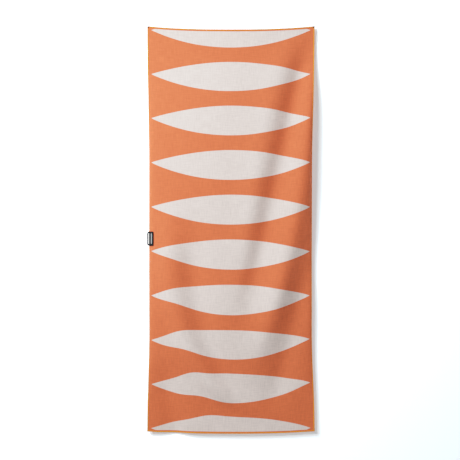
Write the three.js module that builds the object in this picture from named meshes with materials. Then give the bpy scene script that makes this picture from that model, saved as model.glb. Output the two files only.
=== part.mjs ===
import * as THREE from 'three';
import { mergeVertices } from 'three/addons/utils/BufferGeometryUtils.js';

// A quick dry towel, hanging by its two top corners.
// +X is to the right and +Z is up. The printed front faces -Y. The origin is midway between the top corners.
// A place on the cloth is written s, t, n: s across from the centre line, t down from the top edge,
// and n in front of the middle of the cloth's thickness.

// Driving dimensions, mm
const WIDTH = 760;
const LENGTH = 1840;
const CLOTH = 1.8;
const GAP = 0.3;

// Overlocked edge
const HEM_WIDTH = 5;
const HEM_WRAP = 0.7;
const TACK = 9;

// The lower third folds up across this band
const FOLD_AT = 1227;
const FOLD_BAND = 190;

// Rubber tag sewn on the left edge
// Its inner edge is sewn down, and it lies level with the cloth a little further in, where that is flatter.
const TAG = {
  at: 963,
  sewn: -348.5,
  level: -340,
  height: 65,
  thick: 1.8,
  margin: 5,
  flap: 26.2,
  clear: 2.5,
  round: 11,
};
const TAG_BARS = [
  { name: 'tag_bar_wide', left: -20.4, width: 4.4, height: 48, colour: 0xe4e4e2 },
  { name: 'tag_bar_narrow', left: -6.8, width: 4.2, height: 46, colour: 0x9c9fa2 },
];
const BAR_RAISED = 0.6;

// Hanging loop of tape behind the top left corner
const LOOP = { at: -345, down: 8, anchor: 10, width: 26, tape: 6, length: 56, thick: 1.2, clear: 2.6 };

// Blank care label sewn behind the left edge
const CARE = { at: 110, height: 36, thick: 0.6, margin: 4.6, flap: 34, hinge: -368, clear: 2.4 };

const THREAD = 0.7;
const SEAM_INSET = 3;
const STEP_ACROSS = 31;
const CURL_STEPS = [14, 20];
const CURL_END = 28;
const STEP_DOWN = 41;
const ROUND_STEPS = 5;

// How the cloth hangs. The base stands forward of the hang line, and the belly adds to it between the edges.
const BASE = 20;
const BELLY = 20;
const SAG = 14.5;
const SAG_POWER = 2.6;
const LOW_SAG = { deep: 8, across: 0.04, wide: 0.22, down: 0.76, tall: 0.14 };
const EDGE_PULL = 12.5;
const EDGE_SHIFT = -2;
const EDGE_CURL = 8;
const CURL_POWER = 22;

// Soft folds. Each runs from one share of the width to another as it comes down, begins and ends at a share
// of the length, is a ridge or a valley of a height in mm, and spreads over a share of the width.
const FOLDS = [
  { from: 0.48, to: 0.04, begin: 0, end: 0.76, bend: 0.45, wide: 0.085, height: 9, rise: 0.1, fade: 0.3 },
  { from: 0.48, to: 0.04, begin: 0, end: 0.78, bend: 1, wide: 0.07, height: -16, rise: 0.14, fade: 0.2 },
  { from: 0.5, to: 0.1, begin: 0.02, end: 0.88, bend: 2, wide: 0.075, height: 22, rise: 0.2, fade: 0.25 },
  { from: 0.56, to: 0.22, begin: 0.45, end: 0.97, bend: 1, wide: 0.08, height: -12, rise: 0.2, fade: 0.12 },
  { from: -0.36, to: 0.08, begin: 0.36, end: 0.95, bend: 4, wide: 0.09, height: 18, rise: 0.25, fade: 0.08 },
  { from: -0.24, to: 0.14, begin: 0.46, end: 0.95, bend: 3, wide: 0.09, height: -13, rise: 0.15, fade: 0.1 },
  { from: -0.42, to: -0.3, begin: 0.8, end: 1.08, bend: 1, wide: 0.07, height: -13, rise: 0.1, fade: 0.1 },
];

// Where the cloth is drawn up within its own surface, written as the folds are
const LIFTS = [
  { from: -0.38, to: -0.1, begin: 0.4, end: 1, bend: 2.2, wide: 0.1, height: 16.5, rise: 0.45, fade: 0.08 },
  { from: 0.06, to: 0.06, begin: 0.85, end: 1, bend: 1, wide: 0.15, height: -4, rise: 0.05, fade: 0.04 },
  { from: 0.46, to: 0.44, begin: 0.6, end: 1.02, bend: 1, wide: 0.09, height: 8.5, rise: 0.28, fade: 0.1 },
];

const { smoothstep, clamp } = THREE.MathUtils;

function bell(x, centre, spread) {
  return Math.exp(-(((x - centre) / spread) ** 2));
}

function foldHeight(fold, u, v) {
  const along = clamp((v - fold.begin) / (fold.end - fold.begin), 0, 1);
  const centre = fold.from + (fold.to - fold.from) * along ** fold.bend;
  const rise = smoothstep(v, fold.begin, fold.begin + fold.rise);
  const fade = 1 - smoothstep(v, fold.end - fold.fade, fold.end);
  return fold.height * rise * fade * bell(u, centre, fold.wide);
}

function sumOfFolds(folds, u, v) {
  return folds.reduce((sum, fold) => sum + foldHeight(fold, u, v), 0);
}

// The middle surface of the cloth at s, t. The side edges are drawn in, and curl back.
function clothPoint(s, t) {
  const u = s / WIDTH;
  const v = t / LENGTH;
  const pull = smoothstep(v, 0, 0.35) * (1 - smoothstep(v, 0.75, 1));
  const atEdge = Math.abs(2 * u) ** CURL_POWER;
  const base = BASE * smoothstep(v, 0, 0.4) * (1 - 0.85 * smoothstep(v, 0.6, 1));
  const belly = BELLY * smoothstep(v, 0, 0.2) * (1 - 0.9 * smoothstep(v, 0.7, 1)) * (1 - (2 * u) ** 2);
  const forward = base + belly + sumOfFolds(FOLDS, u, v) - pull * EDGE_CURL * atEdge;
  const sag = SAG * (1 - Math.abs(2 * u) ** SAG_POWER) * (1 - 0.35 * smoothstep(v, 0.9, 1));
  const lowSag = LOW_SAG.deep * bell(u, LOW_SAG.across, LOW_SAG.wide) * bell(v, LOW_SAG.down, LOW_SAG.tall);
  const inward = EDGE_SHIFT * (2 * u) ** 2 - Math.sign(u) * EDGE_PULL * atEdge;
  return new THREE.Vector3(s + pull * inward, -forward, sumOfFolds(LIFTS, u, v) - t - sag - lowSag);
}

// The way right, up and forward on the cloth at s, t. Up runs along the cloth's own length.
function clothFrame(s, t) {
  const step = 0.5;
  const up = clothPoint(s, t - step).sub(clothPoint(s, t + step)).normalize();
  const rightward = clothPoint(s + step, t).sub(clothPoint(s - step, t));
  const front = rightward.cross(up).normalize();
  const right = up.clone().cross(front);
  return { right, up, front };
}

function onCloth(s, t, n) {
  return clothPoint(s, t).addScaledVector(clothFrame(s, t).front, n);
}

// Moves every corner of a geometry to the point that place gives for it, and welds the corners
function shaped(geometry, place) {
  geometry.deleteAttribute('normal');
  geometry.deleteAttribute('uv');
  const solid = mergeVertices(geometry, 1e-4);
  const position = solid.attributes.position;
  for (let i = 0; i < position.count; i += 1) {
    const point = place(position.getX(i), position.getY(i), position.getZ(i));
    position.setXYZ(i, point.x, point.y, point.z);
  }
  solid.computeVertexNormals();
  return solid;
}

function mesh(name, geometry, look) {
  const made = new THREE.Mesh(geometry, new THREE.MeshStandardMaterial(look));
  made.name = name;
  return made;
}

const ORANGE = { color: 0xd87d52, roughness: 0.9, metalness: 0 };
const EDGE_ORANGE = { color: 0xe17828, roughness: 0.8, metalness: 0 };
const DARK_THREAD = { color: 0x7a2c10, roughness: 0.8, metalness: 0 };
const BLACK_RUBBER = { color: 0x1c1c1e, roughness: 0.55, metalness: 0 };
const BLACK_THREAD = { color: 0x121214, roughness: 0.8, metalness: 0 };
const TAPE_ORANGE = { color: 0xd9712c, roughness: 0.85, metalness: 0 };
const LABEL_WHITE = { color: 0xeeeae4, roughness: 0.6, metalness: 0 };
const WHITE_THREAD = { color: 0xf4f1ec, roughness: 0.8, metalness: 0 };

// Even stations from one place to another, no further apart than step
function stations(from, to, step) {
  const count = Math.max(1, Math.round((to - from) / step));
  return Array.from({ length: count + 1 }, (_, i) => from + ((to - from) * i) / count);
}

const halfWidth = WIDTH / 2;
const hemInside = HEM_WRAP + GAP;
const tackEnd = TACK + GAP;

// Places across the cloth, closer together near the side edges, where it curls
const nearLeft = [tackEnd, ...CURL_STEPS].map((step) => step - halfWidth);
const nearRight = nearLeft.map((s) => -s).reverse();
const inner = stations(CURL_END - halfWidth, halfWidth - CURL_END, STEP_ACROSS);
const acrossMiddle = [...nearLeft, ...inner, ...nearRight];
const inLeftHem = [hemInside, HEM_WIDTH].map((step) => step - halfWidth);
const inRightHem = inLeftHem.map((s) => -s).reverse();
const across = [...inLeftHem, ...acrossMiddle, ...inRightHem];
const foldTop = FOLD_AT - FOLD_BAND / 2;
const foldBottom = FOLD_AT + FOLD_BAND / 2;
const downStretches = {
  upper: stations(tackEnd, foldTop - GAP / 2, STEP_DOWN),
  fold: stations(foldTop + GAP / 2, foldBottom - GAP / 2, STEP_DOWN),
  lower: stations(foldBottom + GAP / 2, LENGTH - tackEnd, STEP_DOWN),
};

// A sheet of cloth over the given stations
function panel(name, down) {
  const columns = across.length - 1;
  const rows = down.length - 1;
  const sheet = new THREE.BoxGeometry(columns, rows, 1, columns, rows, 1);
  const solid = shaped(sheet, (x, y, z) => {
    const s = across[Math.round(x + columns / 2)];
    const t = down[Math.round(rows / 2 - y)];
    return onCloth(s, t, z * CLOTH);
  });
  return mesh(name, solid, ORANGE);
}

// The section of an overlocked edge: a channel over the cloth's edge, its mouth inwards
function channel(width) {
  const inside = CLOTH / 2 + GAP;
  const outside = inside + HEM_WRAP;
  const outline = [
    [0, -outside],
    [width, -outside],
    [width, -inside],
    [HEM_WRAP, -inside],
    [HEM_WRAP, inside],
    [width, inside],
    [width, outside],
    [0, outside],
  ];
  return new THREE.Shape(outline.map(([x, y]) => new THREE.Vector2(x, y)));
}

function channelRun(width, count) {
  const steps = count - 1;
  return new THREE.ExtrudeGeometry(channel(width), { depth: steps, steps, bevelEnabled: false });
}

// An edge that runs down the left side, or the right side when side is 1
function sideRun(side, width, down, place) {
  const last = down.length - 1;
  return shaped(channelRun(width, down.length), (x, y, z) => {
    const t = side < 0 ? down[Math.round(z)] : down[last - Math.round(z)];
    return place(side * (halfWidth - x), t, y);
  });
}

function sideHem(name, side, down) {
  return mesh(name, sideRun(side, HEM_WIDTH, down, onCloth), EDGE_ORANGE);
}

// An edge that runs across the top, or the bottom when atBottom is true
function endHem(name, atBottom) {
  const run = channelRun(HEM_WIDTH, acrossMiddle.length);
  const last = acrossMiddle.length - 1;
  const solid = shaped(run, (x, y, z) => {
    const s = atBottom ? acrossMiddle[Math.round(z)] : acrossMiddle[last - Math.round(z)];
    return onCloth(s, atBottom ? LENGTH - x : x, y);
  });
  return mesh(name, solid, EDGE_ORANGE);
}

// A corner tack of dense thread over the side edge. Its back is pressed flat.
function cornerTack(name, side, atBottom, look) {
  const down = atBottom ? [LENGTH - TACK, LENGTH] : [0, TACK];
  const inside = CLOTH / 2 + GAP;
  const back = clothPoint(side * halfWidth, down[atBottom ? 1 : 0]).y + inside + HEM_WRAP;
  const geometry = sideRun(side, TACK, down, (s, t, n) => {
    const point = onCloth(s, t, n);
    return n < -inside - GAP ? point.setY(back) : point;
  });
  return mesh(name, geometry, look);
}

// A group at s, t whose axes are the cloth's right, up and forward there, or at another place across, level
function groupOnCloth(s, t, level = s) {
  const { right, up, front } = clothFrame(level, t);
  const group = new THREE.Group();
  group.quaternion.setFromRotationMatrix(new THREE.Matrix4().makeBasis(right, up, front));
  group.position.copy(clothPoint(s, t));
  return group;
}

// A flat rectangle from x0 to x1 and from y0 to y1 with its left corners rounded, thick along +Z from z0
function plate(x0, x1, y0, y1, z0, thick, leftRound) {
  const outline = new THREE.Shape();
  outline.moveTo(x0, y0 + leftRound);
  if (leftRound > 0) {
    outline.absarc(x0 + leftRound, y0 + leftRound, leftRound, Math.PI, 1.5 * Math.PI, false);
  }
  outline.lineTo(x1, y0);
  outline.lineTo(x1, y1);
  outline.lineTo(x0 + leftRound, y1);
  if (leftRound > 0) {
    outline.absarc(x0 + leftRound, y1 - leftRound, leftRound, 0.5 * Math.PI, Math.PI, false);
  }
  const options = { depth: thick, steps: 1, bevelEnabled: false, curveSegments: ROUND_STEPS };
  return new THREE.ExtrudeGeometry(outline, options).translate(0, 0, z0);
}

// A row of thread up a sewn margin, half as tall as reach each way
function seam(x, reach, z) {
  return plate(x - THREAD / 2, x + THREAD / 2, -reach, reach, z, THREAD, 0);
}

function tag() {
  const group = groupOnCloth(TAG.sewn, TAG.at, TAG.level);
  group.translateX(-TAG.margin);
  const half = TAG.height / 2;
  const top = TAG.clear + TAG.thick;
  const marginBase = CLOTH / 2 + 2 * GAP;
  const margin = plate(GAP / 2, TAG.margin, -half, half, marginBase, top - marginBase, 0);
  const flap = plate(-TAG.flap, -GAP / 2, -half, half, TAG.clear, TAG.thick, TAG.round);
  group.add(mesh('tag_margin', margin, BLACK_RUBBER), mesh('tag_flap', flap, BLACK_RUBBER));
  for (const bar of TAG_BARS) {
    const right = bar.left + bar.width;
    const raised = plate(bar.left, right, -bar.height / 2, bar.height / 2, top + GAP, BAR_RAISED, 0);
    group.add(mesh(bar.name, raised, { color: bar.colour, roughness: 0.5, metalness: 0 }));
  }
  group.add(mesh('tag_stitching', seam(TAG.margin / 2, half - SEAM_INSET, top + GAP), BLACK_THREAD));
  return group;
}

// The back of the cloth is at negative n, so these pieces are built forward and their group faces back
function groupBehindCloth(s, t) {
  const group = groupOnCloth(s, t);
  group.rotateY(Math.PI);
  return group;
}

function hangingLoop() {
  const group = groupBehindCloth(LOOP.at, LOOP.down + LOOP.anchor);
  const half = LOOP.width / 2;
  const anchor = plate(-half, half, GAP / 2, LOOP.anchor, LOOP.clear, LOOP.thick, 0);
  const bend = half - LOOP.tape;
  const outline = new THREE.Shape();
  outline.moveTo(-half, -GAP / 2);
  outline.lineTo(-half, half - LOOP.length);
  outline.absarc(0, half - LOOP.length, half, Math.PI, 2 * Math.PI, false);
  outline.lineTo(half, -GAP / 2);
  outline.lineTo(bend, -GAP / 2);
  outline.lineTo(bend, half - LOOP.length);
  outline.absarc(0, half - LOOP.length, bend, 2 * Math.PI, Math.PI, true);
  outline.lineTo(-bend, -GAP / 2);
  const options = { depth: LOOP.thick, steps: 1, bevelEnabled: false, curveSegments: ROUND_STEPS };
  const loop = new THREE.ExtrudeGeometry(outline, options).translate(0, 0, LOOP.clear);
  const tackTop = LOOP.clear + LOOP.thick + GAP;
  const tackMiddle = LOOP.anchor / 2;
  const barTack = plate(
    SEAM_INSET - half,
    half - SEAM_INSET,
    tackMiddle - THREAD,
    tackMiddle + THREAD,
    tackTop,
    THREAD,
    0
  );
  group.add(mesh('loop_anchor', anchor, TAPE_ORANGE), mesh('hanging_loop', loop, TAPE_ORANGE));
  group.add(mesh('loop_bar_tack', barTack, DARK_THREAD));
  return group;
}

function careLabel() {
  const group = groupBehindCloth(CARE.hinge, CARE.at);
  const half = CARE.height / 2;
  const top = CARE.clear + CARE.thick;
  const margin = plate(GAP / 2, CARE.margin, -half, half, CARE.clear, CARE.thick, 0);
  const flap = plate(-CARE.flap, -GAP / 2, -half, half, CARE.clear, CARE.thick, 0);
  const thread = seam(CARE.margin / 2, half - SEAM_INSET, top + GAP);
  group.add(mesh('care_label_margin', margin, LABEL_WHITE), mesh('care_label', flap, LABEL_WHITE));
  group.add(mesh('care_label_stitching', thread, WHITE_THREAD));
  return group;
}

const towel = new THREE.Group();
for (const [stretch, down] of Object.entries(downStretches)) {
  const ends = { upper: [hemInside, ...down], fold: down, lower: [...down, LENGTH - hemInside] };
  towel.add(panel(`towel_panel_${stretch}`, ends[stretch]));
  towel.add(sideHem(`hem_left_${stretch}`, -1, down));
  towel.add(sideHem(`hem_right_${stretch}`, 1, down));
}
towel.add(endHem('hem_top', false), endHem('hem_bottom', true));
towel.add(cornerTack('corner_tack_top_left', -1, false, DARK_THREAD));
towel.add(cornerTack('corner_tack_top_right', 1, false, DARK_THREAD));
towel.add(cornerTack('corner_tack_bottom_left', -1, true, EDGE_ORANGE));
towel.add(cornerTack('corner_tack_bottom_right', 1, true, EDGE_ORANGE));
towel.add(tag(), hangingLoop(), careLabel());

export default towel;
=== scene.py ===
"""A quick dry towel hung by its two top corners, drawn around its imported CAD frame.

All lengths are in metres. +X is to the right, +Z is up and the printed front faces -Y.
A place on the cloth is s, t, n: s across from the centre line, t down from the top edge, and n in front of
the middle of the cloth's thickness.
"""

import math

import bmesh
import bpy
import numpy as np
from bpy.props import FloatProperty, FloatVectorProperty, IntProperty, PointerProperty
from mathutils import Matrix, Vector


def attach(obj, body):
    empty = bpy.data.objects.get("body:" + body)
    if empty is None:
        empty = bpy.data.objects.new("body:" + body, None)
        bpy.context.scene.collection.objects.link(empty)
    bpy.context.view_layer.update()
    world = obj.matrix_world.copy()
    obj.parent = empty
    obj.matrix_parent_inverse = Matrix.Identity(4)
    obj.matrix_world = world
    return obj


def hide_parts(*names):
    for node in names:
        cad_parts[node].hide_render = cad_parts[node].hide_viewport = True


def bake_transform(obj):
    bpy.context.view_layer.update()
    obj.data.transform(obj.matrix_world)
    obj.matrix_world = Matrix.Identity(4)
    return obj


bl_info = {
    "name": "Quick dry towel",
    "version": (1, 0, 0),
    "blender": (4, 5, 0),
    "location": "3D View > Sidebar > Towel",
    "description": "Makes a hung quick dry towel with overlocked edges, a rubber tag, a loop and a label",
    "category": "Object",
}

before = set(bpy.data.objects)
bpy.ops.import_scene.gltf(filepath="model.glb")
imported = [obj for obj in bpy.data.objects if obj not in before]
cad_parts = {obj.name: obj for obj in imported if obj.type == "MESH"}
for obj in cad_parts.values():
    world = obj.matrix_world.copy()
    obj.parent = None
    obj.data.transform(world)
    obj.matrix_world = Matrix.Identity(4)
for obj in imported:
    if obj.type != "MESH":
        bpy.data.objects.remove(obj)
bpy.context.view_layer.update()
MM = 0.001

# ---------------------------------------------------------------- how the cloth hangs

WIDTH = 760 * MM
LENGTH = 1840 * MM
BASE = 20 * MM
BELLY = 20 * MM
SAG = 14.5 * MM
SAG_POWER = 2.6
LOW_SAG = dict(deep=8 * MM, across=0.04, wide=0.22, down=0.76, tall=0.14)
EDGE_PULL = 12.5 * MM
EDGE_SHIFT = -2 * MM
EDGE_CURL = 8 * MM
CURL_POWER = 22

# Soft folds. Each runs from one share of the width to another as it comes down, begins and ends at a share
# of the length, is a ridge or a valley of a height in mm, and spreads over a share of the width.
FOLDS = (
    dict(start=0.48, to=0.04, begin=0, end=0.76, bend=0.45, wide=0.085, height=9, rise=0.1, fade=0.3),
    dict(start=0.48, to=0.04, begin=0, end=0.78, bend=1, wide=0.07, height=-16, rise=0.14, fade=0.2),
    dict(start=0.5, to=0.1, begin=0.02, end=0.88, bend=2, wide=0.075, height=22, rise=0.2, fade=0.25),
    dict(start=0.56, to=0.22, begin=0.45, end=0.97, bend=1, wide=0.08, height=-12, rise=0.2, fade=0.12),
    dict(start=-0.36, to=0.08, begin=0.36, end=0.95, bend=4, wide=0.09, height=18, rise=0.25, fade=0.08),
    dict(start=-0.24, to=0.14, begin=0.46, end=0.95, bend=3, wide=0.09, height=-13, rise=0.15, fade=0.1),
    dict(start=-0.42, to=-0.3, begin=0.8, end=1.08, bend=1, wide=0.07, height=-13, rise=0.1, fade=0.1),
)

# Where the cloth is drawn up within its own surface, as the folds, in mm
LIFTS = (
    dict(start=-0.38, to=-0.1, begin=0.4, end=1.0, bend=2.2, wide=0.1, height=16.5, rise=0.45, fade=0.08),
    dict(start=0.06, to=0.06, begin=0.85, end=1.0, bend=1, wide=0.15, height=-4, rise=0.05, fade=0.04),
    dict(start=0.46, to=0.44, begin=0.6, end=1.02, bend=1, wide=0.09, height=8.5, rise=0.28, fade=0.1),
)


def smoothstep(x, low, high):
    share = np.clip((x - low) / (high - low), 0, 1)
    return share * share * (3 - 2 * share)


def bell(x, centre, wide):
    return np.exp(-(((x - centre) / wide) ** 2))


def fold_height(fold, u, v):
    along = np.clip((v - fold["begin"]) / (fold["end"] - fold["begin"]), 0, 1)
    centre = fold["start"] + (fold["to"] - fold["start"]) * along ** fold["bend"]
    rise = smoothstep(v, fold["begin"], fold["begin"] + fold["rise"])
    fade = 1 - smoothstep(v, fold["end"] - fold["fade"], fold["end"])
    return fold["height"] * MM * rise * fade * bell(u, centre, fold["wide"])


def cloth_point(s, t):
    """The middle surface of the cloth at s, t."""
    s, t = np.broadcast_arrays(np.asarray(s, float), np.asarray(t, float))
    u, v = s / WIDTH, t / LENGTH
    pull = smoothstep(v, 0, 0.35) * (1 - smoothstep(v, 0.75, 1))
    forward = BASE * smoothstep(v, 0, 0.4) * (1 - 0.85 * smoothstep(v, 0.6, 1))
    forward = forward + BELLY * smoothstep(v, 0, 0.2) * (1 - 0.9 * smoothstep(v, 0.7, 1)) * (1 - (2 * u) ** 2)
    forward = forward + sum(fold_height(fold, u, v) for fold in FOLDS)
    edge = np.abs(2 * u) ** CURL_POWER
    forward = forward - pull * EDGE_CURL * edge
    sag = SAG * (1 - np.abs(2 * u) ** SAG_POWER) * (1 - 0.35 * smoothstep(v, 0.9, 1))
    low = LOW_SAG["deep"] * bell(u, LOW_SAG["across"], LOW_SAG["wide"])
    low = low * bell(v, LOW_SAG["down"], LOW_SAG["tall"])
    lift = sum(fold_height(fold, u, v) for fold in LIFTS)
    x = s + pull * (EDGE_SHIFT * np.abs(2 * u) ** 2 - np.sign(u) * EDGE_PULL * edge)
    return np.stack([x, -forward, -t - sag - low + lift], axis=-1)


def unit(vectors):
    return vectors / np.linalg.norm(vectors, axis=-1, keepdims=True)


def cloth_axes(s, t):
    """The ways right, up and forward on the cloth at s, t. Up runs along the cloth's own length."""
    step = 0.5 * MM
    up = unit(cloth_point(s, t - step) - cloth_point(s, t + step))
    front = unit(np.cross(cloth_point(s + step, t) - cloth_point(s - step, t), up))
    return np.cross(up, front), up, front


def on_cloth(s, t, n):
    return cloth_point(s, t) + cloth_axes(s, t)[2] * np.asarray(n, float)[..., None]


# ---------------------------------------------------------------- sizes and colours


class TowelSizes(bpy.types.PropertyGroup):
    """Sizes of the towel's pieces."""

    cloth_thick: FloatProperty(
        name="Cloth thickness",
        description="Thickness of the brushed cloth",
        default=1.8 * MM, unit="LENGTH",
    )
    rows: IntProperty(name="Rows", description="Rows of lenses down the cloth", default=10)
    row_first: FloatProperty(
        name="First row",
        description="From the top edge to the first row's tips",
        default=16.4 * MM, unit="LENGTH",
    )
    row_pitch: FloatProperty(
        name="Row pitch",
        description="From one row of lenses to the next",
        default=200.8 * MM, unit="LENGTH",
    )
    lens_reach: FloatProperty(
        name="Lens reach",
        description="From a lens's middle to its tip",
        default=361 * MM, unit="LENGTH",
    )
    lens_rise: FloatProperty(
        name="Lens rise",
        description="From a lens's middle to its upper edge",
        default=66.6 * MM, unit="LENGTH",
    )
    edge_width: FloatProperty(
        name="Edge width", description="Width of the overlocked edge", default=5 * MM, unit="LENGTH"
    )
    edge_wrap: FloatProperty(
        name="Edge wrap",
        description="How far the edge's thread stands off the cloth",
        default=0.65 * MM,
        unit="LENGTH",
    )
    stitch_pitch: FloatProperty(
        name="Stitch pitch",
        description="From one overlock stitch to the next",
        default=2.5 * MM, unit="LENGTH",
    )
    border: FloatProperty(
        name="Border",
        description="Plain cloth left along the top and bottom edges",
        default=10 * MM, unit="LENGTH",
    )
    thread: FloatProperty(
        name="Thread", description="Radius of the overlock thread", default=0.42 * MM, unit="LENGTH"
    )
    tack: FloatProperty(
        name="Corner tack",
        description="Side of a corner tack",
        default=9 * MM, unit="LENGTH",
    )


class TowelColours(bpy.types.PropertyGroup):
    """Colours of the towel's pieces."""

    orange: FloatVectorProperty(
        name="Cloth",
        description="Dyed ground of the cloth",
        default=(0.74, 0.131, 0.0455), size=3, subtype="COLOR",
    )
    lens: FloatVectorProperty(
        name="Lens",
        description="Off-white of the lenses",
        default=(0.79, 0.665, 0.61), size=3, subtype="COLOR",
    )
    back: FloatVectorProperty(
        name="Cloth's back",
        description="Ground behind, paler",
        default=(0.76, 0.25, 0.13),
        size=3,
        subtype="COLOR",
    )
    back_lens: FloatVectorProperty(
        name="Lens behind",
        description="Lenses seen behind",
        default=(0.79, 0.57, 0.47),
        size=3,
        subtype="COLOR",
    )
    edge: FloatVectorProperty(
        name="Edge thread",
        description="Thread of the edges",
        default=(0.86, 0.27, 0.02), size=3, subtype="COLOR",
    )
    # Dark red-brown, put on the top two corner tacks only and on the loop's bar tack; the bottom two tacks
    # keep the edge's colour.
    tack: FloatVectorProperty(
        name="Corner thread",
        description="Thread of the top corners",
        default=(0.20, 0.035, 0.01), size=3,
        subtype="COLOR",
    )
    rubber: FloatVectorProperty(
        name="Rubber",
        description="Tag's rubber",
        default=(0.005, 0.005, 0.0055), size=3, subtype="COLOR",
    )
    # Painted highlight: the wide bar's pale colour stands for light glinting on the tag's curved free flap.
    bar_wide: FloatVectorProperty(
        name="Wide bar",
        description="Wide raised bar",
        default=(0.78, 0.78, 0.76), size=3, subtype="COLOR",
    )
    bar_narrow: FloatVectorProperty(
        name="Narrow bar",
        description="Narrow raised bar",
        default=(0.33, 0.35, 0.36), size=3, subtype="COLOR",
    )
    tape: FloatVectorProperty(
        name="Tape",
        description="Woven tape of the loop",
        default=(0.72, 0.20, 0.04), size=3, subtype="COLOR",
    )
    tag_thread: FloatVectorProperty(
        name="Tag thread",
        description="Thread of the tag",
        default=(0.02, 0.02, 0.022),
        size=3,
        subtype="COLOR",
    )
    label_thread: FloatVectorProperty(
        name="Label thread",
        description="Thread of the label",
        default=(0.9, 0.87, 0.82),
        size=3,
        subtype="COLOR",
    )
    label: FloatVectorProperty(
        name="Label",
        description="Satin of the care label",
        default=(0.84, 0.81, 0.76), size=3, subtype="COLOR",
    )


# ---------------------------------------------------------------- materials


class Nodes:
    """Adds nodes to a tree. A value that is a socket is linked, and any other is set on the input."""

    def __init__(self, tree):
        self.tree = tree

    def add(self, kind, inputs=(), **settings):
        node = self.tree.nodes.new(kind)
        for name, value in settings.items():
            setattr(node, name, value)
        for key, value in dict(inputs).items():
            self.put(node.inputs[key], value)
        return node

    def put(self, socket, value):
        if isinstance(value, bpy.types.NodeSocket):
            self.tree.links.new(value, socket)
        else:
            socket.default_value = value

    def math(self, operation, *values):
        node = self.add("ShaderNodeMath", enumerate(values), operation=operation)
        return node.outputs[0]

    def mix(self, share, first, second, blend="MIX"):
        """The two colours mixed."""
        inputs = {"Factor": share, 6: first, 7: second}
        return self.add("ShaderNodeMix", inputs, data_type="RGBA", blend_type=blend).outputs[2]

    def noise(self, vector, scale, detail=2.0):
        inputs = {"Vector": vector, "Scale": scale, "Detail": detail}
        return self.add("ShaderNodeTexNoise", inputs).outputs["Fac"]

    def ramp(self, value, low, high, to_low=0.0, to_high=1.0, smooth=False):
        inputs = {"Value": value, "From Min": low, "From Max": high, "To Min": to_low, "To Max": to_high}
        node = self.add("ShaderNodeMapRange", inputs)
        node.interpolation_type = "SMOOTHSTEP" if smooth else "LINEAR"
        return node.outputs[0]


KNIT_RIB = 1.7 * MM
THREAD_TWIST = 0.5 * MM


def rgba(colour):
    return (*colour, 1.0)


def new_material(name, **settings):
    """A material with a Principled shader, whose even settings are given, and the node helper for it."""
    material = bpy.data.materials.new(name)
    material.use_nodes = True
    shader = material.node_tree.nodes["Principled BSDF"]
    for key, value in settings.items():
        shader.inputs[key.replace("_", " ").title().replace("Ior", "IOR")].default_value = value
    return material, shader, Nodes(material.node_tree)


def bump(nodes, shader, height, distance, strength=1.0):
    inputs = {"Height": height, "Distance": distance, "Strength": strength}
    nodes.put(shader.inputs["Normal"], nodes.add("ShaderNodeBump", inputs).outputs[0])


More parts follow.
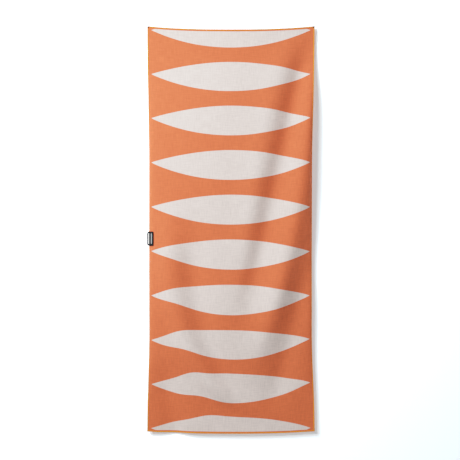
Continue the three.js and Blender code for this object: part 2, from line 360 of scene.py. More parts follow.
def cloth_material(sizes, colours):
    """Brushed microfibre: fine ribs and pile, an orange ground and rows of off-white lenses, paler behind."""
    settings = dict(Specular_ior_level=0.3, Sheen_roughness=0.45, Sheen_weight=0.08)
    material, shader, nodes = new_material("brushed_cloth", **settings)
    place = nodes.add("ShaderNodeUVMap", uv_map="cloth").outputs[0]
    behind = nodes.add("ShaderNodeAttribute", attribute_name="behind").outputs["Fac"]
    across, down = nodes.add("ShaderNodeSeparateXYZ", {0: place}).outputs[:2]
    fleck = nodes.noise(place, 900.0, 3.0)
    # the lenses: in each row, a place is inside where it is nearer the row's line than the lens is tall there
    row = nodes.math("DIVIDE", nodes.math("SUBTRACT", down, sizes.row_first), sizes.row_pitch)
    nearest = nodes.math("MINIMUM", nodes.math("MAXIMUM", nodes.math("ROUND", row), 0.0), sizes.rows - 1.0)
    rows_off = nodes.math("ABSOLUTE", nodes.math("SUBTRACT", row, nearest))
    off_line = nodes.math("MULTIPLY", rows_off, sizes.row_pitch)
    share = nodes.math("DIVIDE", across, sizes.lens_reach)
    arch = nodes.math("SUBTRACT", 1.0, nodes.math("MULTIPLY", share, share))
    tall = nodes.math("MULTIPLY", arch, sizes.lens_rise)
    ragged = nodes.ramp(fleck, 0.0, 1.0, -0.5 * MM, 0.5 * MM)
    inside = nodes.math("SUBTRACT", tall, off_line)
    for end in (down, nodes.math("SUBTRACT", LENGTH, down)):
        inside = nodes.math("MINIMUM", inside, nodes.math("SUBTRACT", end, sizes.border))
    inside = nodes.math("ADD", inside, ragged)
    lens = nodes.ramp(inside, -0.5 * MM, 0.5 * MM, smooth=True)
    # the dye: uneven in broad patches and from fibre to fibre
    patch = nodes.ramp(nodes.noise(place, 14.0, 3.0), 0.3, 0.7, 0.975, 1.025)
    tone = nodes.math("MULTIPLY", patch, nodes.ramp(fleck, 0.3, 0.7, 0.95, 1.05))
    for scale in ((1.0, 0.09, 1.0), (0.09, 1.0, 1.0)):
        yarns = nodes.add("ShaderNodeMapping", {"Vector": place, "Scale": scale}).outputs[0]
        streak = nodes.ramp(nodes.noise(yarns, 260.0, 3.0), 0.3, 0.7, 0.91, 1.09)
        tone = nodes.math("MULTIPLY", tone, streak)
    front = nodes.mix(lens, rgba(colours.orange), rgba(colours.lens))
    back = nodes.mix(lens, rgba(colours.back), rgba(colours.back_lens))
    dyed = nodes.mix(behind, front, back)
    grey = nodes.add("ShaderNodeCombineColor", {0: tone, 1: tone, 2: tone}).outputs[0]
    nodes.put(shader.inputs["Base Color"], nodes.mix(1.0, dyed, grey, "MULTIPLY"))
    nodes.put(shader.inputs["Roughness"], nodes.ramp(fleck, 0.2, 0.8, 0.82, 0.98))
    # the knit: ribs across and down, under a brushed pile
    waves = [nodes.math("MULTIPLY", line, 2 * math.pi / KNIT_RIB) for line in (across, down)]
    ribs = [nodes.math("SINE", wave) for wave in waves]
    knit = nodes.math("MULTIPLY", nodes.math("ADD", *ribs), 0.16)
    pile = nodes.math("ADD", knit, nodes.noise(place, 650.0, 4.0))
    bump(nodes, shader, pile, 0.5 * MM, 0.6)
    return material


def thread_material(name, colour):
    """Spun thread: slanting plies and slight unevenness in the dye."""
    settings = dict(Roughness=0.7, Specular_ior_level=0.25, Sheen_weight=0.05, Sheen_roughness=0.4)
    material, shader, nodes = new_material(name, **settings)
    place = nodes.add("ShaderNodeTexCoord").outputs["Object"]
    dye = nodes.ramp(nodes.noise(place, 300.0, 3.0), 0.3, 0.7, 0.86, 1.1)
    grey = nodes.add("ShaderNodeCombineColor", {0: dye, 1: dye, 2: dye}).outputs[0]
    nodes.put(shader.inputs["Base Color"], nodes.mix(1.0, rgba(colour), grey, "MULTIPLY"))
    x, y, z = nodes.add("ShaderNodeSeparateXYZ", {0: place}).outputs
    slant = nodes.math("ADD", nodes.math("ADD", x, z), nodes.math("MULTIPLY", y, 2.0))
    plies = nodes.math("SINE", nodes.math("MULTIPLY", slant, 2 * math.pi / THREAD_TWIST))
    bump(nodes, shader, plies, 0.12 * MM, 0.7)
    return material


def rubber_material(name, colour, roughness):
    """Moulded silicone rubber with a faint orange-peel and dust in its texture."""
    material, shader, nodes = new_material(name, Specular_ior_level=0.1)
    place = nodes.add("ShaderNodeTexCoord").outputs["Object"]
    dust = nodes.noise(place, 700.0, 4.0)
    bloom = nodes.ramp(nodes.noise(place, 60.0, 3.0), 0.35, 0.75, 0.0, 0.006)
    nodes.put(shader.inputs["Base Color"], nodes.mix(bloom, rgba(colour), (0.6, 0.6, 0.6, 1.0)))
    nodes.put(shader.inputs["Roughness"], nodes.ramp(dust, 0.3, 0.7, roughness - 0.06, roughness + 0.08))
    bump(nodes, shader, dust, 0.05 * MM, 0.5)
    return material


def woven_material(name, colour, rib, roughness, sheen):
    """Narrow woven goods, with ribs across and finer threads along, on the piece's own UV map in metres."""
    material, shader, nodes = new_material(name, Sheen_weight=sheen, Sheen_roughness=0.35)
    place = nodes.add("ShaderNodeUVMap", uv_map="weave").outputs[0]
    across, along = nodes.add("ShaderNodeSeparateXYZ", {0: place}).outputs[:2]
    ribs = nodes.math("SINE", nodes.math("MULTIPLY", along, 2 * math.pi / rib))
    threads = nodes.math("SINE", nodes.math("MULTIPLY", across, 2 * math.pi / (0.55 * rib)))
    weave = nodes.math("MULTIPLY", ribs, threads)
    slub = nodes.noise(place, 500.0, 3.0)
    relief = nodes.ramp(weave, -1.0, 1.0, 0.88, 1.05)
    tone = nodes.math("MULTIPLY", relief, nodes.ramp(slub, 0.3, 0.7, 0.93, 1.05))
    grey = nodes.add("ShaderNodeCombineColor", {0: tone, 1: tone, 2: tone}).outputs[0]
    nodes.put(shader.inputs["Base Color"], nodes.mix(1.0, rgba(colour), grey, "MULTIPLY"))
    nodes.put(shader.inputs["Roughness"], nodes.ramp(slub, 0.3, 0.7, roughness - 0.07, roughness + 0.07))
    bump(nodes, shader, weave, 0.12 * MM, 0.8)
    return material


# ---------------------------------------------------------------- mesh helpers


def new_object(name, points, faces, material, uv_name=None, uv=None):
    """A smooth mesh object at the origin. uv gives a place for each point."""
    mesh = bpy.data.meshes.new(name)
    mesh.from_pydata(np.asarray(points, float).reshape(-1, 3).tolist(), [], faces)
    mesh.polygons.foreach_set("use_smooth", [True] * len(mesh.polygons))
    mesh.materials.append(material)
    if uv_name:
        layer = mesh.uv_layers.new(name=uv_name)
        corners = np.zeros(len(mesh.loops), np.int32)
        mesh.loops.foreach_get("vertex_index", corners)
        layer.data.foreach_set("uv", np.asarray(uv, np.float32)[corners].ravel())
    mesh.update()
    made = bpy.data.objects.new(name, mesh)
    bpy.context.scene.collection.objects.link(made)
    return made


def sweep_faces(stations, around):
    """Quads of a tube of stations rings with around points each, and a cap at both ends."""
    faces = []
    for i in range(stations - 1):
        for j in range(around):
            k = (j + 1) % around
            faces.append((i * around + j, i * around + k, (i + 1) * around + k, (i + 1) * around + j))
    last = (stations - 1) * around
    faces.append(tuple(range(around))[::-1])
    faces.append(tuple(range(last, last + around)))
    return faces


def face_outwards(piece):
    """Turns every face of a closed piece outwards."""
    work = bmesh.new()
    work.from_mesh(piece.data)
    bmesh.ops.recalc_face_normals(work, faces=work.faces)
    work.to_mesh(piece.data)
    work.free()
    piece.data.update()
    return piece


def evaluated_copy(source, name):
    """A plain mesh object of what source's modifiers make. The source is removed."""
    depsgraph = bpy.context.evaluated_depsgraph_get()
    mesh = bpy.data.meshes.new_from_object(source.evaluated_get(depsgraph))
    mesh.name = name
    made = bpy.data.objects.new(name, mesh)
    bpy.context.scene.collection.objects.link(made)
    bpy.data.objects.remove(source)
    return made


def joined(name, parts, material):
    """One object of several plain meshes, in one material."""
    work = bmesh.new()
    for part in parts:
        work.from_mesh(part.data)
    for face in work.faces:
        face.material_index = 0
        face.smooth = True
    mesh = bpy.data.meshes.new(name)
    work.to_mesh(mesh)
    work.free()
    mesh.materials.append(material)
    for part in parts:
        bpy.data.objects.remove(part)
    made = bpy.data.objects.new(name, mesh)
    bpy.context.scene.collection.objects.link(made)
    return made


# ---------------------------------------------------------------- stitches, by Geometry Nodes


class StitchTree(Nodes):
    """A Geometry Nodes tree that stitches along a path. The path's points carry two unit vectors, side and
    front, across the path and out of the cloth."""

    def __init__(self, name, lengths):
        super().__init__(bpy.data.node_groups.new(name, "GeometryNodeTree"))
        face = self.tree.interface
        face.new_socket("Geometry", in_out="INPUT", socket_type="NodeSocketGeometry")
        for label, value in lengths.items():
            socket = face.new_socket(label, in_out="INPUT", socket_type="NodeSocketFloat")
            socket.subtype = "DISTANCE"
            socket.default_value = value
        face.new_socket("Material", in_out="INPUT", socket_type="NodeSocketMaterial")
        face.new_socket("Geometry", in_out="OUTPUT", socket_type="NodeSocketGeometry")
        self.inputs = self.add("NodeGroupInput").outputs

    def vector(self, name):
        kind = "GeometryNodeInputNamedAttribute"
        return self.add(kind, {"Name": name}, data_type="FLOAT_VECTOR").outputs[0]

    def scaled(self, vector, factor):
        inputs = {0: vector, "Scale": factor}
        return self.add("ShaderNodeVectorMath", inputs, operation="SCALE").outputs[0]

    def finish(self, geometry):
        smooth = self.add("GeometryNodeSetShadeSmooth", {"Geometry": geometry}).outputs[0]
        real = self.add("GeometryNodeRealizeInstances", {0: smooth}).outputs[0]
        inputs = {"Geometry": real, "Material": self.inputs["Material"]}
        done = self.add("GeometryNodeSetMaterial", inputs).outputs[0]
        self.add("NodeGroupOutput", {0: done})


def overlock_tree():
    """One thread that winds round an edge in a flat spiral, one turn to a stitch."""
    lengths = {"Pitch": 3 * MM, "Half Width": 2.5 * MM, "Half Height": 1.6 * MM, "Thread Radius": 0.3 * MM}
    tree = StitchTree("overlock_stitches", lengths)
    pitch = tree.inputs["Pitch"]
    path = tree.add("GeometryNodeMeshToCurve", {0: tree.inputs["Geometry"]}).outputs[0]
    step = tree.math("DIVIDE", pitch, 12.0)
    dense = tree.add("GeometryNodeResampleCurve", {"Curve": path, "Length": step}, mode="LENGTH").outputs[0]
    length = tree.add("GeometryNodeSplineParameter").outputs["Length"]
    turn = tree.math("MULTIPLY", tree.math("DIVIDE", length, pitch), 2 * math.pi)
    wide = tree.math("MULTIPLY", tree.math("COSINE", turn), tree.inputs["Half Width"])
    high = tree.math("MULTIPLY", tree.math("SINE", turn), tree.inputs["Half Height"])
    offsets = {0: tree.scaled(tree.vector("side"), wide), 1: tree.scaled(tree.vector("front"), high)}
    offset = tree.add("ShaderNodeVectorMath", offsets, operation="ADD").outputs[0]
    wound = tree.add("GeometryNodeSetPosition", {"Geometry": dense, "Offset": offset}).outputs[0]
    section = {"Resolution": 5, "Radius": tree.inputs["Thread Radius"]}
    ring = tree.add("GeometryNodeCurvePrimitiveCircle", section).outputs[0]
    inputs = {"Curve": wound, "Profile Curve": ring, "Fill Caps": True}
    tree.finish(tree.add("GeometryNodeCurveToMesh", inputs).outputs[0])
    return tree.tree


def running_tree():
    """Short stitches one after another along a path, each a spindle that lies on the cloth."""
    lengths = {"Pitch": 3 * MM, "Stitch Length": 2.4 * MM, "Thread Radius": 0.3 * MM}
    tree = StitchTree("running_stitches", lengths)
    path = tree.add("GeometryNodeMeshToCurve", {0: tree.inputs["Geometry"]}).outputs[0]
    resample = {"Curve": path, "Length": tree.inputs["Pitch"]}
    points = tree.add("GeometryNodeResampleCurve", resample, mode="LENGTH").outputs[0]
    ball = {"Segments": 8, "Rings": 6, "Radius": 0.5}
    spindle = tree.add("GeometryNodeMeshUVSphere", ball).outputs[0]
    across = tree.math("MULTIPLY", tree.inputs["Thread Radius"], 2.0)
    sides = {0: tree.inputs["Stitch Length"], 1: across, 2: across}
    size = tree.add("ShaderNodeCombineXYZ", sides).outputs[0]
    along = tree.add("GeometryNodeInputTangent").outputs[0]
    up = {"Vector": tree.vector("front")}
    lifted = tree.add("FunctionNodeAlignRotationToVector", up, axis="Z").outputs[0]
    turned = {"Rotation": lifted, "Vector": along}
    rotation = tree.add("FunctionNodeAlignRotationToVector", turned, axis="X", pivot_axis="Z").outputs[0]
    inputs = {"Points": points, "Instance": spindle, "Rotation": rotation, "Scale": size}
    tree.finish(tree.add("GeometryNodeInstanceOnPoints", inputs).outputs[0])
    return tree.tree


def stitched(name, tree, points, side, front, material, **lengths):
    """A plain mesh of the tree's stitches along the path through points."""
    mesh = bpy.data.meshes.new(name + "_path")
    mesh.from_pydata(np.asarray(points, float).tolist(), [(i, i + 1) for i in range(len(points) - 1)], [])
    for label, vectors in (("side", side), ("front", front)):
        layer = mesh.attributes.new(label, "FLOAT_VECTOR", "POINT")
        layer.data.foreach_set("vector", np.asarray(vectors, np.float32).ravel())
    path = bpy.data.objects.new(name + "_path", mesh)
    bpy.context.scene.collection.objects.link(path)
    modifier = path.modifiers.new("stitches", "NODES")
    modifier.node_group = tree
    values = {key.replace("_", " ").title(): value for key, value in lengths.items()}
    values["Material"] = material
    for item in tree.interface.items_tree:
        if item.in_out == "INPUT" and item.name in values:
            modifier[item.identifier] = values[item.name]
    bpy.context.view_layer.update()
    return evaluated_copy(path, name)


def tree_named(name, make):
    return bpy.data.node_groups.get(name) or make()


# ---------------------------------------------------------------- the cloth, its edges and corner tacks


def across_fold(piece):
    """Sets a piece's placement into its mesh and clears its transform. It does not bend the piece."""
    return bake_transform(piece)


CLOTH_COLUMNS = 150
CLOTH_ROWS = 310
EDGE_STEP = 6 * MM


class TOWEL_OT_cloth(bpy.types.Operator):
    """Make the towel's cloth, one draped sheet with its front, back and rim"""

    bl_idname = "towel.cloth"
    bl_label = "Cloth"

    def execute(self, context):
        sizes, colours = context.scene.towel_sizes, context.scene.towel_colours
        columns, rows = CLOTH_COLUMNS, CLOTH_ROWS
        inset = sizes.edge_wrap
        across = np.linspace(-1, 1, columns + 1)
        across = across * (1 + 0.25 * (1 - across**2)) * (WIDTH / 2 - inset)
        down = np.linspace(inset, LENGTH - inset, rows + 1)
        s, t = (grid.ravel() for grid in np.meshgrid(across, down))
        half = sizes.cloth_thick / 2
        points = np.concatenate([on_cloth(s, t, np.full(s.shape, n)) for n in (half, -half)])
        count, wide = len(s), columns + 1
        faces = []
        for i in range(rows):
            for j in range(columns):
                a = i * wide + j
                faces.append((a, a + wide, a + wide + 1, a + 1))
                faces.append((count + a, count + a + 1, count + a + wide + 1, count + a + wide))
        top = list(range(wide))
        right = [i * wide + columns for i in range(rows + 1)]
        bottom = [rows * wide + j for j in range(wide)][::-1]
        left = [i * wide for i in range(rows + 1)][::-1]
        rim = top + right[1:] + bottom[1:] + left[1:-1]
        for a, b in zip(rim, rim[1:] + rim[:1]):
            faces.append((a, b, count + b, count + a))
        uv = np.tile(np.stack([s, t], axis=-1), (2, 1))
        cloth = new_object("towel_cloth", points, faces, cloth_material(sizes, colours), "cloth", uv)
        layer = cloth.data.attributes.new("behind", "FLOAT", "POINT")
        layer.data.foreach_set("value", np.repeat([0.0, 1.0], count).astype(np.float32))
        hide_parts("towel_panel_upper", "towel_panel_fold", "towel_panel_lower")
        across_fold(cloth)
        return {"FINISHED"}


def edge_line(side, sizes, reach):
    """Places along one edge, reach inside it, and the ways inwards and forward there."""
    margin = sizes.tack - 1 * MM
    if side in ("left", "right"):
        sign = -1 if side == "left" else 1
        t = np.arange(margin, LENGTH - margin, EDGE_STEP)
        s = np.full(t.shape, sign * (WIDTH / 2 - reach))
    else:
        s = np.arange(margin - WIDTH / 2, WIDTH / 2 - margin, EDGE_STEP)
        t = np.full(s.shape, reach if side == "top" else LENGTH - reach)
    right, up, front = cloth_axes(s, t)
    inwards = {"left": right, "right": -right, "top": -up, "bottom": up}[side]
    return cloth_point(s, t), inwards, front


def edge_section(sizes):
    """Outline of the thread's body round an edge, as pairs: inwards from the edge's middle, and forward."""
    half = sizes.edge_width / 2
    inner = sizes.cloth_thick / 2
    outer = inner + 0.5 * sizes.edge_wrap
    turn = np.linspace(math.pi / 2, 3 * math.pi / 2, 9)
    outside = [(-half + outer + outer * math.cos(a), outer * math.sin(a)) for a in turn]
    rim = -half + sizes.edge_wrap + inner
    inside = [(rim + inner * math.cos(a), inner * math.sin(a)) for a in turn[::-1]]
    lip = 0.25 * sizes.edge_wrap
    front_lip = [(half - lip, inner), (half, inner + lip), (half - lip, outer)]
    back_lip = [(half - lip, -outer), (half, -inner - lip), (half - lip, -inner)]
    return np.array(front_lip + outside + back_lip + inside)


class TOWEL_OT_edges(bpy.types.Operator):
    """Make the four overlocked edges: the thread's body, the winding thread and the needle line"""

    bl_idname = "towel.edges"
    bl_label = "Edges"

    def execute(self, context):
        sizes, colours = context.scene.towel_sizes, context.scene.towel_colours
        thread = thread_material("edge_thread", colours.edge)
        section = edge_section(sizes)
        overlock = tree_named("overlock_stitches", overlock_tree)
        running = tree_named("running_stitches", running_tree)
        nodes = {
            "top": ["hem_top"],
            "bottom": ["hem_bottom"],
            "left": ["hem_left_upper", "hem_left_fold", "hem_left_lower"],
            "right": ["hem_right_upper", "hem_right_fold", "hem_right_lower"],
        }
        for side, stands_for in nodes.items():
            middle, inwards, front = edge_line(side, sizes, sizes.edge_width / 2)
            rings = middle[:, None] + inwards[:, None] * section[:, :1] + front[:, None] * section[:, 1:]
            faces = sweep_faces(len(middle), len(section))
            body = face_outwards(new_object(f"edge_body_{side}", rings, faces, thread))
            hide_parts(*stands_for)
            reach = dict(half_width=sizes.edge_width / 2, half_height=sizes.cloth_thick / 2 + sizes.edge_wrap)
            wound = stitched(
                f"edge_thread_{side}", overlock, middle, inwards, front, thread,
                pitch=sizes.stitch_pitch, thread_radius=sizes.thread, **reach,
            )
            line, inwards, front = edge_line(side, sizes, sizes.edge_width + 0.2 * MM)
            raised = line + front * (sizes.cloth_thick / 2 + 0.4 * sizes.thread)
            needle = stitched(
                f"needle_line_{side}", running, raised, inwards, front, thread,
                pitch=sizes.stitch_pitch, stitch_length=0.85 * sizes.stitch_pitch, thread_radius=sizes.thread,
            )
            for piece in (body, wound, needle):
                if side in ("left", "right"):
                    across_fold(piece)
                else:
                    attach(piece, "root" if side == "top" else "lower_third")
        return {"FINISHED"}


class TOWEL_OT_corner_tacks(bpy.types.Operator):
    """Make the four corner tacks of dense thread, the top two dark red-brown and the bottom two in the edge's
    colour
    """

    bl_idname = "towel.corner_tacks"
    bl_label = "Corner tacks"

    def execute(self, context):
        sizes, colours = context.scene.towel_sizes, context.scene.towel_colours
        dark = thread_material("dark_thread", colours.tack)
        plain = thread_material("corner_thread", colours.edge)
        overlock = tree_named("overlock_stitches", overlock_tree)
        half = sizes.tack / 2
        for end, body in (("top", "root"), ("bottom", "lower_third")):
            for side, sign in (("left", -1), ("right", 1)):
                t = np.linspace(0.4 * MM, sizes.tack, 8)
                t = t if end == "top" else LENGTH - t
                s = np.full(t.shape, sign * (WIDTH / 2 - half))
                right, _up, front = cloth_axes(s, t)
                name = f"corner_tack_{end}_{side}"
                tack = stitched(
                    name, overlock, cloth_point(s, t), -sign * right, front, dark if end == "top" else plain,
                    pitch=0.62 * MM, half_width=half, half_height=sizes.cloth_thick / 2 + 0.75 * MM,
                    thread_radius=0.36 * MM,
                )
                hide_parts(name)
                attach(tack, body)
        return {"FINISHED"}


# ---------------------------------------------------------------- tag, loop and label

# All in mm. For the tag and the label, at is the place down the cloth. For the loop it is the place across,
# and hinge is the place down. The tag is sewn at one place across and lies level with the cloth at another.
TAG = dict(at=963, sewn=-348.5, level=-340, height=65, flap=26.2, margin=5, thick=1.8, clear=2.5)
TAG_ROUND = dict(outer=11, inner=5)
TAG_BARS = (
    # The wide bar's pale colour is painted highlight, for light glinting on the tag's curved free flap.
    dict(name="tag_bar_wide", left=-20.4, width=4.4, height=48, colour="bar_wide", slot="white_rubber"),
    dict(name="tag_bar_narrow", left=-6.8, width=4.2, height=46, colour="bar_narrow", slot="grey_rubber"),
)
LOOP = dict(at=-345, hinge=18, anchor=10, width=26, tape=6, length=56, thick=1.2, clear=2.6)
CARE = dict(at=110, hinge=-368, height=36, flap=34, margin=4.6, thick=0.6, clear=2.4)


def cloth_matrix(s, t, behind=False, level=None):
    """Places a flat piece on the cloth: its X to the right, Y up and Z forward. Behind, X and Z turn about.
    With level, the piece is level with the cloth there instead."""
    right, up, front = (Vector(axis) for axis in cloth_axes((s if level is None else level) * MM, t * MM))
    if behind:
        right, front = -right, -front
    turn = Matrix((right, up, front)).transposed().to_4x4()
    return Matrix.Translation(Vector(cloth_point(s * MM, t * MM))) @ turn


def rounded_outline(x0, x1, y0, y1, left_round, right_round, steps=8):
    """Corners of a rectangle with rounded corners, anticlockwise, in mm."""
    corners = ((x0, y0, left_round, 180), (x1, y0, right_round, 270), (x1, y1, right_round, 0))
    points = []
    for x, y, radius, start in (*corners, (x0, y1, left_round, 90)):
        cx = x + radius if x == x0 else x - radius
        cy = y + radius if y == y0 else y - radius
        for step in range(steps + 1):
            angle = math.radians(start + 90 * step / steps)
            points.append((cx + radius * math.cos(angle), cy + radius * math.sin(angle)))
    return points


def plate(name, outline, z0, thick, bevel, cuts, matrix, material, uv_name=None):
    """A plate with a bevelled rim, cut into strips at the given x so that it can bend. Sizes in mm."""
    work = bmesh.new()
    base = [work.verts.new((x * MM, y * MM, z0 * MM)) for x, y in outline]
    face = work.faces.new(base)
    made = bmesh.ops.extrude_face_region(work, geom=[face])
    top = [v for v in made["geom"] if isinstance(v, bmesh.types.BMVert)]
    bmesh.ops.translate(work, verts=top, vec=(0, 0, thick * MM))
    bmesh.ops.recalc_face_normals(work, faces=work.faces)
    rims = [e for e in work.edges if abs(e.verts[0].co.z - e.verts[1].co.z) < 1e-7]
    bmesh.ops.bevel(work, geom=rims, offset=bevel * MM, segments=3, profile=0.5, affect="EDGES")
    for x in cuts:
        geometry = work.verts[:] + work.edges[:] + work.faces[:]
        bmesh.ops.bisect_plane(work, geom=geometry, plane_co=(x * MM, 0, 0), plane_no=(1, 0, 0))
    if uv_name:
        layer = work.loops.layers.uv.new(uv_name)
        for face in work.faces:
            for loop in face.loops:
                loop[layer].uv = loop.vert.co.xy
    bmesh.ops.transform(work, verts=work.verts[:], matrix=matrix)
    mesh = bpy.data.meshes.new(name)
    work.to_mesh(mesh)
    work.free()
    mesh.polygons.foreach_set("use_smooth", [len(p.vertices) < 5 and p.area < 4e-6 for p in mesh.polygons])
    mesh.materials.append(material)
    made = bpy.data.objects.new(name, mesh)
    bpy.context.scene.collection.objects.link(made)
    return made


def seam(name, matrix, ends, z, material, **lengths):
    """A straight row of stitches on a flat piece, between two ends in mm."""
    line = np.linspace(ends[0], ends[1], 12)
    points = [matrix @ Vector((x * MM, y * MM, z * MM)) for x, y in line]
    turn = matrix.to_3x3()
    count = len(points)
    side, front = [turn @ Vector((1, 0, 0))] * count, [turn @ Vector((0, 0, 1))] * count
    tree = tree_named("running_stitches", running_tree)
    return stitched(name, tree, points, side, front, material, **lengths)


class TOWEL_OT_tag(bpy.types.Operator):
    """Make the rubber tag on the left edge, its two plain raised bars, the wide one pale with painted
    highlight where light glints on the curved free flap, and the stitches that hold it
    """

    bl_idname = "towel.tag"
    bl_label = "Tag"

    def execute(self, context):
        colours = context.scene.towel_colours
        matrix = cloth_matrix(TAG["sewn"], TAG["at"], level=TAG["level"])
        matrix = matrix @ Matrix.Translation((-TAG["margin"] * MM, 0, 0))
        half = TAG["height"] / 2
        top = TAG["clear"] + TAG["thick"]
        rubber = rubber_material("black_rubber", colours.rubber, 0.62)
        rounds = TAG_ROUND["outer"], TAG_ROUND["inner"]
        outline = rounded_outline(-TAG["flap"], TAG["margin"], -half, half, *rounds)
        cuts = np.linspace(-3.2, 2.0, 14)
        body = plate("tag_rubber", outline, TAG["clear"], TAG["thick"], 0.5, cuts, matrix, rubber)
        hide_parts("tag_margin", "tag_flap")
        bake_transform(body)
        for bar in TAG_BARS:
            tall = bar["height"] / 2
            shape = rounded_outline(bar["left"], bar["left"] + bar["width"], -tall, tall, 0.8, 0.8, 4)
            look = rubber_material(bar["slot"], getattr(colours, bar["colour"]), 0.55)
            raised = plate(bar["name"], shape, top - 0.1, 0.7, 0.25, (), matrix, look)
            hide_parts(bar["name"])
            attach(raised, "tag")
        thread = thread_material("black_thread", colours.tag_thread)
        x = TAG["margin"] - 2.2
        ends = ((x, 4 - half), (x, half - 4))
        row = seam(
            "tag_stitching", matrix, ends, top + 0.12, thread,
            pitch=2.6 * MM, stitch_length=2.1 * MM, thread_radius=0.3 * MM,
        )
        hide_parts("tag_stitching")
        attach(row, "root")
        return {"FINISHED"}


def tape_loop(name, matrix, material):
    """The loop: one tape with rounded edges along a U, both ends running up under the anchor."""
    leg = LOOP["width"] / 2 - LOOP["tape"] / 2
    low = LOOP["width"] / 2 - LOOP["length"]
    top = LOOP["anchor"] - 1
    turn = np.linspace(math.pi, 2 * math.pi, 25)
    down = [(-leg, y) for y in np.linspace(top, low, 24, endpoint=False)]
    bend = [(leg * math.cos(a), low + leg * math.sin(a)) for a in turn]
    up = [(leg, y) for y in np.linspace(low, top, 25)[1:]]
    line = np.array(down + bend + up)
    along = unit(np.gradient(line, axis=0))
    side = np.stack([along[:, 1], -along[:, 0]], axis=-1)
    wide, thick = LOOP["tape"] / 2, 0.8
    corner = np.linspace(0, math.pi, 5)
    right = [(wide - 0.4 + 0.4 * math.sin(a), thick / 2 - 0.4 * math.cos(a)) for a in corner]
    section = np.array(right + [(-x, thick - z) for x, z in right])
    xy = line[:, None] + side[:, None] * section[None, :, :1]
    z = np.broadcast_to(LOOP["clear"] + section[None, :, 1:], (*xy.shape[:2], 1))
    points = np.concatenate([xy, z], axis=-1).reshape(-1, 3) * MM
    travelled = np.concatenate([[0], np.cumsum(np.linalg.norm(np.diff(line, axis=0), axis=1))])
    uv = np.stack(np.broadcast_arrays(section[None, :, 0], travelled[:, None]), axis=-1).reshape(-1, 2) * MM
    points = np.array([matrix @ Vector(p) for p in points])
    faces = sweep_faces(len(line), len(section))
    return face_outwards(new_object(name, points, faces, material, "weave", uv))


class TOWEL_OT_loop(bpy.types.Operator):
    """Make the tape loop behind the top left corner, its anchor patch and its bar tack"""

    bl_idname = "towel.loop"
    bl_label = "Hanging loop"

    def execute(self, context):
        colours = context.scene.towel_colours
        matrix = cloth_matrix(LOOP["at"], LOOP["hinge"], behind=True)
        tape = woven_material("loop_tape", colours.tape, 0.8 * MM, 0.6, 0.3)
        loop = tape_loop("hanging_loop_tape", matrix, tape)
        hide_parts("hanging_loop")
        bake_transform(loop)
        half = LOOP["width"] / 2
        outline = rounded_outline(-half, half, 0.6, LOOP["anchor"], 0.8, 0.8, 4)
        height = LOOP["clear"] + LOOP["thick"]
        patch = plate("loop_anchor_patch", outline, height - 0.45, 0.5, 0.2, (), matrix, tape, "weave")
        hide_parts("loop_anchor")
        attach(patch, "root")
        dark = bpy.data.materials.get("dark_thread") or thread_material("dark_thread", colours.tack)
        reach = half - 3
        middle = LOOP["anchor"] / 2
        rows = []
        for i, y in enumerate((middle - 0.9, middle, middle + 0.9)):
            rows.append(
                seam(
                    f"bar_tack_row_{i}", matrix, ((-reach, y), (reach, y)), height + 0.2, dark,
                    pitch=1.15 * MM, stitch_length=1.5 * MM, thread_radius=0.34 * MM,
                )
            )
        tack = joined("loop_bar_tack", rows, dark)
        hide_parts("loop_bar_tack")
        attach(tack, "root")
        return {"FINISHED"}


class TOWEL_OT_care_label(bpy.types.Operator):
    """Make the blank care label behind the left edge and the stitches that hold it"""

    bl_idname = "towel.care_label"
    bl_label = "Care label"

    def execute(self, context):
        colours = context.scene.towel_colours
        matrix = cloth_matrix(CARE["hinge"], CARE["at"], behind=True)
        half = CARE["height"] / 2
        satin = woven_material("label_satin", colours.label, 0.5 * MM, 0.42, 0.15)
        outline = rounded_outline(-CARE["flap"], CARE["margin"], -half, half, 0.6, 0.3, 3)
        cuts = np.linspace(-CARE["flap"] + 2, 1.5, 22)
        label = plate("care_label_satin", outline, CARE["clear"], 0.5, 0.15, cuts, matrix, satin, "weave")
        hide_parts("care_label", "care_label_margin")
        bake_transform(label)
        white = thread_material("white_thread", colours.label_thread)
        x = CARE["margin"] / 2
        ends = ((x, 2 - half), (x, half - 2))
        row = seam(
            "care_label_stitching", matrix, ends, CARE["clear"] + 0.6, white,
            pitch=2.4 * MM, stitch_length=1.9 * MM, thread_radius=0.26 * MM,
        )
        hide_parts("care_label_stitching")
        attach(row, "root")
        return {"FINISHED"}


# ---------------------------------------------------------------- stage

FILM_GAIN = 1.5
FILM_WHITE = 1.5
FLOOR_Z = -2.35
WALL_Y = 0.014
REACH = 6.0
COVERED = 2.0884
EYE_X = -0.0043
EYE_Z = -0.9257
LENS = 70


def stage_plane(name, corners, material):
    plane = new_object(name, corners, [(0, 1, 2, 3)], material)
    return plane


def film_curve(view):
    """A film's soft shoulder: bright tones draw together towards white, which FILM_WHITE reaches."""
    view.view_transform = "Standard"
    view.use_curve_mapping = True
    view.curve_mapping.white_level = (FILM_WHITE, FILM_WHITE, FILM_WHITE)
    curve = view.curve_mapping.curves[3]
    for share in (0.04, 0.1, 0.2, 0.33, 0.48, 0.65, 0.82):
        curve.points.new(share, 1 - math.exp(-FILM_GAIN * FILM_WHITE * share))
    view.curve_mapping.update()


def area_light(name, place, target, size, watts):
    data = bpy.data.lights.new(name, "AREA")
    data.shape = "DISK"
    data.size = size
    data.energy = watts
    light = bpy.data.objects.new(name, data)
    light.location = place
    light.rotation_euler = (Vector(target) - Vector(place)).to_track_quat("-Z", "Y").to_euler()
    bpy.context.scene.collection.objects.link(light)
    return light


def only_lights(light, receiver):
    """Keeps a light to one object, which still gets the others' shadows."""
    lit = bpy.data.collections.new(light.name + "_lights")
    lit.objects.link(receiver)
    light.light_linking.receiver_collection = lit


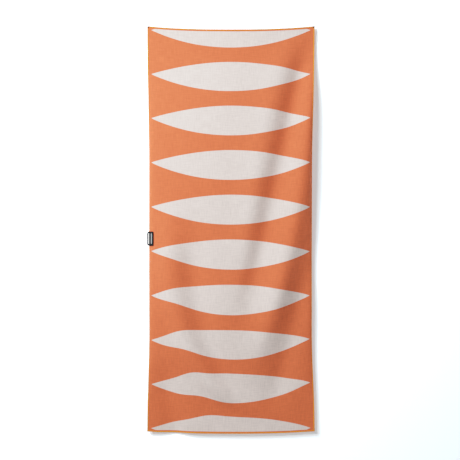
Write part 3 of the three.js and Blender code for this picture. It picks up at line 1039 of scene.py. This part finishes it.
def pale_floor():
    """The floor. It bounces no light back, which would flatten the shading of the folds."""
    pale, shader, _nodes = new_material("pale_floor", Roughness=0.9)
    shader.inputs["Base Color"].default_value = (0.86, 0.86, 0.86, 1.0)
    corners = [(-REACH, -REACH), (REACH, -REACH), (REACH, REACH), (-REACH, REACH)]
    floor = stage_plane("floor", [(x, y, FLOOR_Z) for x, y in corners], pale)
    floor.visible_diffuse = False


def white_wall():
    """The wall. It shows from the front only, so that the towel's back can be seen."""
    white, shader, nodes = new_material("white_wall", Roughness=0.95)
    shader.inputs["Base Color"].default_value = (0.83, 0.93, 0.985, 1.0)
    shader.inputs["Emission Color"].default_value = (1.0, 1.0, 1.0, 1.0)
    shader.inputs["Emission Strength"].default_value = 0.25
    back = nodes.add("ShaderNodeNewGeometry").outputs["Backfacing"]
    clear = nodes.add("ShaderNodeBsdfTransparent").outputs[0]
    seen = nodes.add("ShaderNodeMixShader", {0: back, 1: shader.outputs[0], 2: clear}).outputs[0]
    nodes.put(white.node_tree.nodes["Material Output"].inputs["Surface"], seen)
    corners = [(-REACH, FLOOR_Z), (REACH, FLOOR_Z), (REACH, REACH), (-REACH, REACH)]
    wall = stage_plane("wall", [(x, WALL_Y, z) for x, z in corners], white)
    wall.visible_shadow = False
    return wall


def studio_world():
    world = bpy.data.worlds.new("studio")
    world.use_nodes = True
    background = world.node_tree.nodes["Background"]
    background.inputs["Color"].default_value = (1.0, 1.0, 1.0, 1.0)
    background.inputs["Strength"].default_value = 0.12
    return world


def front_camera():
    """A camera square to the towel, which takes in COVERED across the towel's plane."""
    camera_data = bpy.data.cameras.new("camera")
    camera_data.lens = LENS
    camera = bpy.data.objects.new("camera", camera_data)
    distance = COVERED * LENS / camera_data.sensor_width
    camera.location = (EYE_X, -distance, EYE_Z)
    camera.rotation_euler = (math.pi / 2, 0, 0)
    bpy.context.scene.collection.objects.link(camera)
    return camera


class TOWEL_OT_stage(bpy.types.Operator):
    """Make the pale wall and floor, the studio lights and the camera"""

    bl_idname = "towel.stage"
    bl_label = "Stage"

    def execute(self, context):
        scene = context.scene
        film_curve(scene.view_settings)
        pale_floor()
        wall = white_wall()
        area_light("key", (-2.2, -2.15, 0.7), (0.0, 0.0, -0.9), 1.8, 170)
        wash = area_light("wall_wash", (-3.8, -3.8, 2.8), (0.2, 0.0, -1.1), 3.8, 950)
        only_lights(wash, wall)
        area_light("fill", (1.6, -3.4, -1.2), (0.3, 0.0, -1.6), 1.6, 18)
        area_light("rear", (1.5, 4.5, 1.0), (0.0, 0.0, -0.9), 3.0, 45)
        scene.world = studio_world()
        scene.camera = front_camera()
        return {"FINISHED"}


class TOWEL_PT_panel(bpy.types.Panel):
    """Lists the towel's pieces in the sidebar"""

    bl_label = "Towel"
    bl_idname = "TOWEL_PT_panel"
    bl_space_type = "VIEW_3D"
    bl_region_type = "UI"
    bl_category = "Towel"

    def draw(self, context):
        for operator in OPERATORS:
            self.layout.operator(operator.bl_idname)
        for group in (context.scene.towel_sizes, context.scene.towel_colours):
            box = self.layout.box()
            for name in group.bl_rna.properties.keys():
                if name not in ("rna_type", "name"):
                    box.prop(group, name)


OPERATORS = (
    TOWEL_OT_cloth,
    TOWEL_OT_edges,
    TOWEL_OT_corner_tacks,
    TOWEL_OT_tag,
    TOWEL_OT_loop,
    TOWEL_OT_care_label,
    TOWEL_OT_stage,
)
CLASSES = (TowelSizes, TowelColours, *OPERATORS, TOWEL_PT_panel)


def register():
    for item in CLASSES:
        bpy.utils.register_class(item)
    bpy.types.Scene.towel_sizes = PointerProperty(type=TowelSizes)
    bpy.types.Scene.towel_colours = PointerProperty(type=TowelColours)


def unregister():
    del bpy.types.Scene.towel_colours
    del bpy.types.Scene.towel_sizes
    for item in reversed(CLASSES):
        bpy.utils.unregister_class(item)


def main():
    register()
    bpy.ops.towel.stage()
    bpy.ops.towel.cloth()
    bpy.ops.towel.edges()
    bpy.ops.towel.corner_tacks()
    bpy.ops.towel.tag()
    bpy.ops.towel.loop()
    bpy.ops.towel.care_label()


if __name__ == "__main__":
    main()
